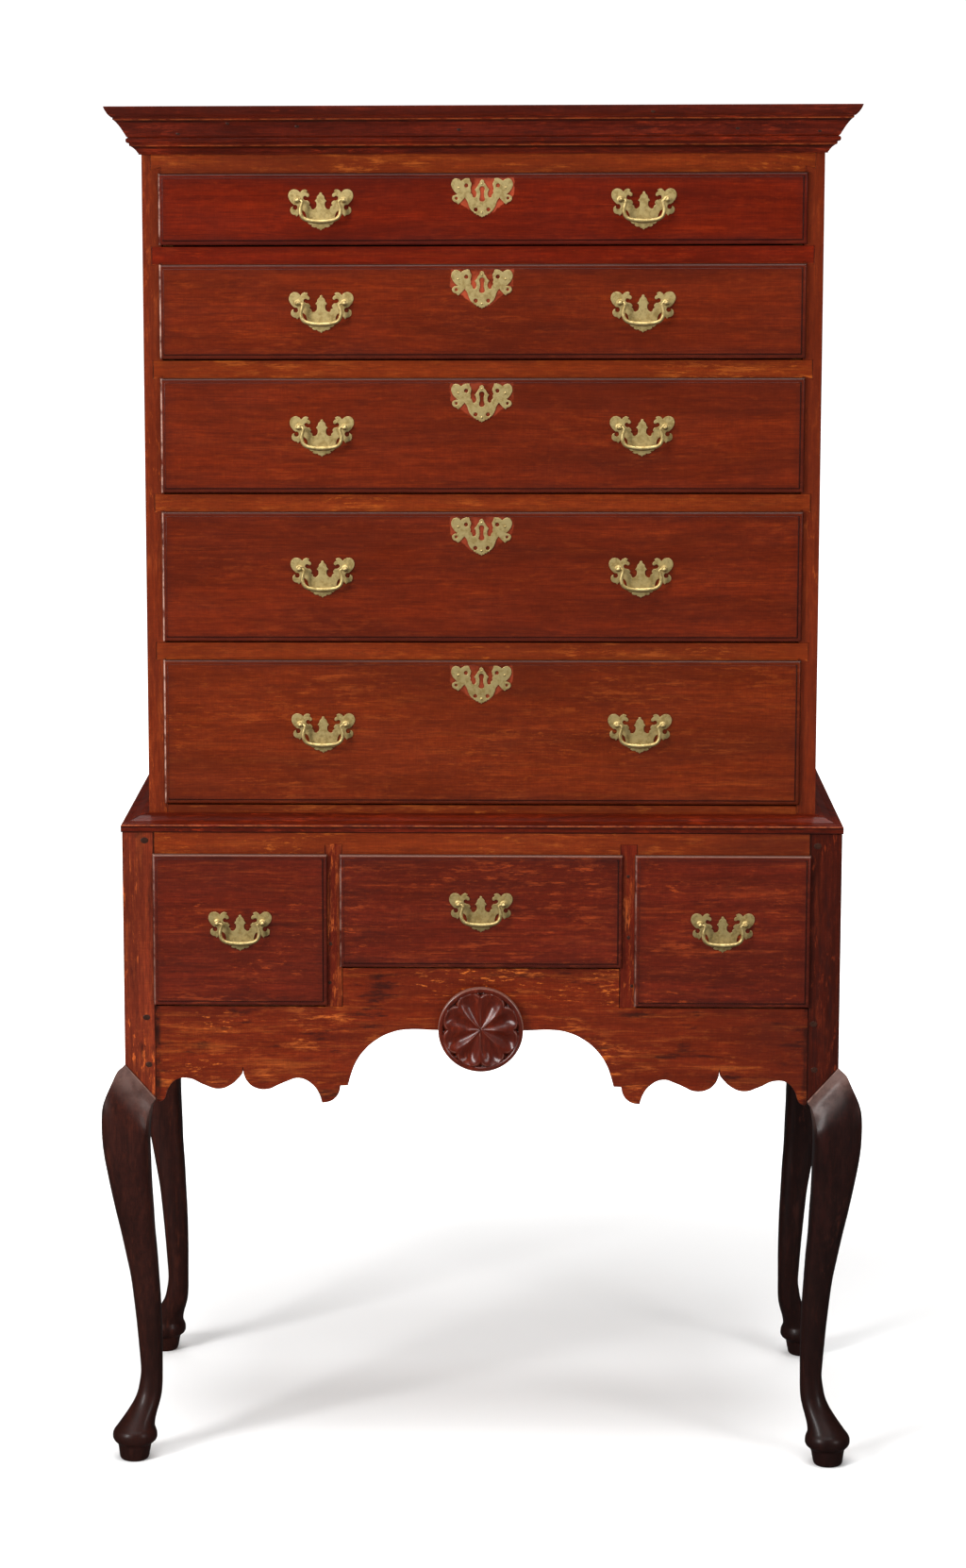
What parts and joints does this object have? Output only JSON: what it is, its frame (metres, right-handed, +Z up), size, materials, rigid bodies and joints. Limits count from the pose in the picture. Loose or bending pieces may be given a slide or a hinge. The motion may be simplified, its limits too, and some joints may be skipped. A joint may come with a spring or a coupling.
{
  "type": "highboy chest of drawers",
  "caption": "Tall two-part cherry chest of drawers on cabriole legs with pad feet, a scalloped skirt with a carved rosette, a mitred cornice and brass bail pulls.",
  "frame": {"origin": "on the floor, under the middle of the lower case", "axes": "+Z up, the front faces -Y, +X to the right as seen from the front"},
  "size_m": [1.023, 0.572, 1.829],
  "materials": {
    "front_cherry": "deep red-brown cherry under old satin varnish, with darker and orange streaks",
    "rail_cherry": "lighter orange-brown cherry, satin varnish",
    "case_cherry": "mid red-brown cherry, satin varnish",
    "dark_cherry": "very dark brown cherry, satin varnish with a soft shine",
    "moulding_cherry": "dark red-brown cherry, a little glossier",
    "pine": "unfinished secondary pine, darkened with age",
    "brass": "pale satin brass, lightly worn"
  },
  "bodies": {
    "case": {"leg_front_left": "dark_cherry", "leg_front_right": "dark_cherry", "leg_rear_left": "dark_cherry", "leg_rear_right": "dark_cherry", "skirt": "rail_cherry", "lower_top_rail": "rail_cherry", "lower_side_left": "case_cherry", "lower_side_right": "case_cherry", "lower_back": "pine", "waist_moulding": "moulding_cherry", "rosette": "moulding_cherry", "upper_side_left": "case_cherry", "upper_side_right": "case_cherry", "drawer_blade_1": "rail_cherry", "drawer_blade_2": "rail_cherry", "drawer_blade_3": "rail_cherry", "drawer_blade_4": "rail_cherry", "upper_top": "rail_cherry", "upper_bottom": "rail_cherry", "upper_back": "pine", "cornice": "moulding_cherry"},
    "drawer_upper_1": {"drawer_upper_1": "front_cherry", "pull_plate_upper_1_left": "brass", "pull_plate_upper_1_right": "brass", "escutcheon_upper_1": "brass"},
    "bail_upper_1_left": {"bail_upper_1_left": "brass"},
    "bail_upper_1_right": {"bail_upper_1_right": "brass"},
    "drawer_upper_2": {"drawer_upper_2": "front_cherry", "pull_plate_upper_2_left": "brass", "pull_plate_upper_2_right": "brass", "escutcheon_upper_2": "brass"},
    "bail_upper_2_left": {"bail_upper_2_left": "brass"},
    "bail_upper_2_right": {"bail_upper_2_right": "brass"},
    "drawer_upper_3": {"drawer_upper_3": "front_cherry", "pull_plate_upper_3_left": "brass", "pull_plate_upper_3_right": "brass", "escutcheon_upper_3": "brass"},
    "bail_upper_3_left": {"bail_upper_3_left": "brass"},
    "bail_upper_3_right": {"bail_upper_3_right": "brass"},
    "drawer_upper_4": {"drawer_upper_4": "front_cherry", "pull_plate_upper_4_left": "brass", "pull_plate_upper_4_right": "brass", "escutcheon_upper_4": "brass"},
    "bail_upper_4_left": {"bail_upper_4_left": "brass"},
    "bail_upper_4_right": {"bail_upper_4_right": "brass"},
    "drawer_upper_5": {"drawer_upper_5": "front_cherry", "pull_plate_upper_5_left": "brass", "pull_plate_upper_5_right": "brass", "escutcheon_upper_5": "brass"},
    "bail_upper_5_left": {"bail_upper_5_left": "brass"},
    "bail_upper_5_right": {"bail_upper_5_right": "brass"},
    "drawer_lower_left": {"drawer_lower_left": "front_cherry", "pull_plate_lower_left": "brass"},
    "bail_lower_left": {"bail_lower_left": "brass"},
    "drawer_lower_centre": {"drawer_lower_centre": "front_cherry", "pull_plate_lower_centre": "brass"},
    "bail_lower_centre": {"bail_lower_centre": "brass"},
    "drawer_lower_right": {"drawer_lower_right": "front_cherry", "pull_plate_lower_right": "brass"},
    "bail_lower_right": {"bail_lower_right": "brass"}
  },
  "joints": [
    {"name": "drawer_upper_1_slide", "type": "slide", "parent": "case", "child": "drawer_upper_1", "axis": [0, -1, 0], "range_m": [0, 0.36]},
    {"name": "bail_upper_1_left_hinge", "type": "hinge", "parent": "drawer_upper_1", "child": "bail_upper_1_left", "pos_m": [-0.2104, -0.2456, 1.7075], "axis": [-1, 0, 0], "range_deg": [-12, 150]},
    {"name": "bail_upper_1_right_hinge", "type": "hinge", "parent": "drawer_upper_1", "child": "bail_upper_1_right", "pos_m": [0.2104, -0.2456, 1.7075], "axis": [-1, 0, 0], "range_deg": [-12, 150]},
    {"name": "drawer_upper_2_slide", "type": "slide", "parent": "case", "child": "drawer_upper_2", "axis": [0, -1, 0], "range_m": [0, 0.36]},
    {"name": "bail_upper_2_left_hinge", "type": "hinge", "parent": "drawer_upper_2", "child": "bail_upper_2_left", "pos_m": [-0.2104, -0.2456, 1.57425], "axis": [-1, 0, 0], "range_deg": [-12, 150]},
    {"name": "bail_upper_2_right_hinge", "type": "hinge", "parent": "drawer_upper_2", "child": "bail_upper_2_right", "pos_m": [0.2104, -0.2456, 1.57425], "axis": [-1, 0, 0], "range_deg": [-12, 150]},
    {"name": "drawer_upper_3_slide", "type": "slide", "parent": "case", "child": "drawer_upper_3", "axis": [0, -1, 0], "range_m": [0, 0.36]},
    {"name": "bail_upper_3_left_hinge", "type": "hinge", "parent": "drawer_upper_3", "child": "bail_upper_3_left", "pos_m": [-0.2104, -0.2456, 1.412], "axis": [-1, 0, 0], "range_deg": [-12, 150]},
    {"name": "bail_upper_3_right_hinge", "type": "hinge", "parent": "drawer_upper_3", "child": "bail_upper_3_right", "pos_m": [0.2104, -0.2456, 1.412], "axis": [-1, 0, 0], "range_deg": [-12, 150]},
    {"name": "drawer_upper_4_slide", "type": "slide", "parent": "case", "child": "drawer_upper_4", "axis": [0, -1, 0], "range_m": [0, 0.36]},
    {"name": "bail_upper_4_left_hinge", "type": "hinge", "parent": "drawer_upper_4", "child": "bail_upper_4_left", "pos_m": [-0.2104, -0.2456, 1.22525], "axis": [-1, 0, 0], "range_deg": [-12, 150]},
    {"name": "bail_upper_4_right_hinge", "type": "hinge", "parent": "drawer_upper_4", "child": "bail_upper_4_right", "pos_m": [0.2104, -0.2456, 1.22525], "axis": [-1, 0, 0], "range_deg": [-12, 150]},
    {"name": "drawer_upper_5_slide", "type": "slide", "parent": "case", "child": "drawer_upper_5", "axis": [0, -1, 0], "range_m": [0, 0.36]},
    {"name": "bail_upper_5_left_hinge", "type": "hinge", "parent": "drawer_upper_5", "child": "bail_upper_5_left", "pos_m": [-0.2104, -0.2456, 1.017], "axis": [-1, 0, 0], "range_deg": [-12, 150]},
    {"name": "bail_upper_5_right_hinge", "type": "hinge", "parent": "drawer_upper_5", "child": "bail_upper_5_right", "pos_m": [0.2104, -0.2456, 1.017], "axis": [-1, 0, 0], "range_deg": [-12, 150]},
    {"name": "drawer_lower_left_slide", "type": "slide", "parent": "case", "child": "drawer_lower_left", "axis": [0, -1, 0], "range_m": [0, 0.36]},
    {"name": "bail_lower_left_hinge", "type": "hinge", "parent": "drawer_lower_left", "child": "bail_lower_left", "pos_m": [-0.3219, -0.2736, 0.753], "axis": [-1, 0, 0], "range_deg": [-12, 150]},
    {"name": "drawer_lower_centre_slide", "type": "slide", "parent": "case", "child": "drawer_lower_centre", "axis": [0, -1, 0], "range_m": [0, 0.36]},
    {"name": "bail_lower_centre_hinge", "type": "hinge", "parent": "drawer_lower_centre", "child": "bail_lower_centre", "pos_m": [0, -0.2736, 0.7795], "axis": [-1, 0, 0], "range_deg": [-12, 150]},
    {"name": "drawer_lower_right_slide", "type": "slide", "parent": "case", "child": "drawer_lower_right", "axis": [0, -1, 0], "range_m": [0, 0.36]},
    {"name": "bail_lower_right_hinge", "type": "hinge", "parent": "drawer_lower_right", "child": "bail_lower_right", "pos_m": [0.3219, -0.2736, 0.753], "axis": [-1, 0, 0], "range_deg": [-12, 150]}
  ]
}
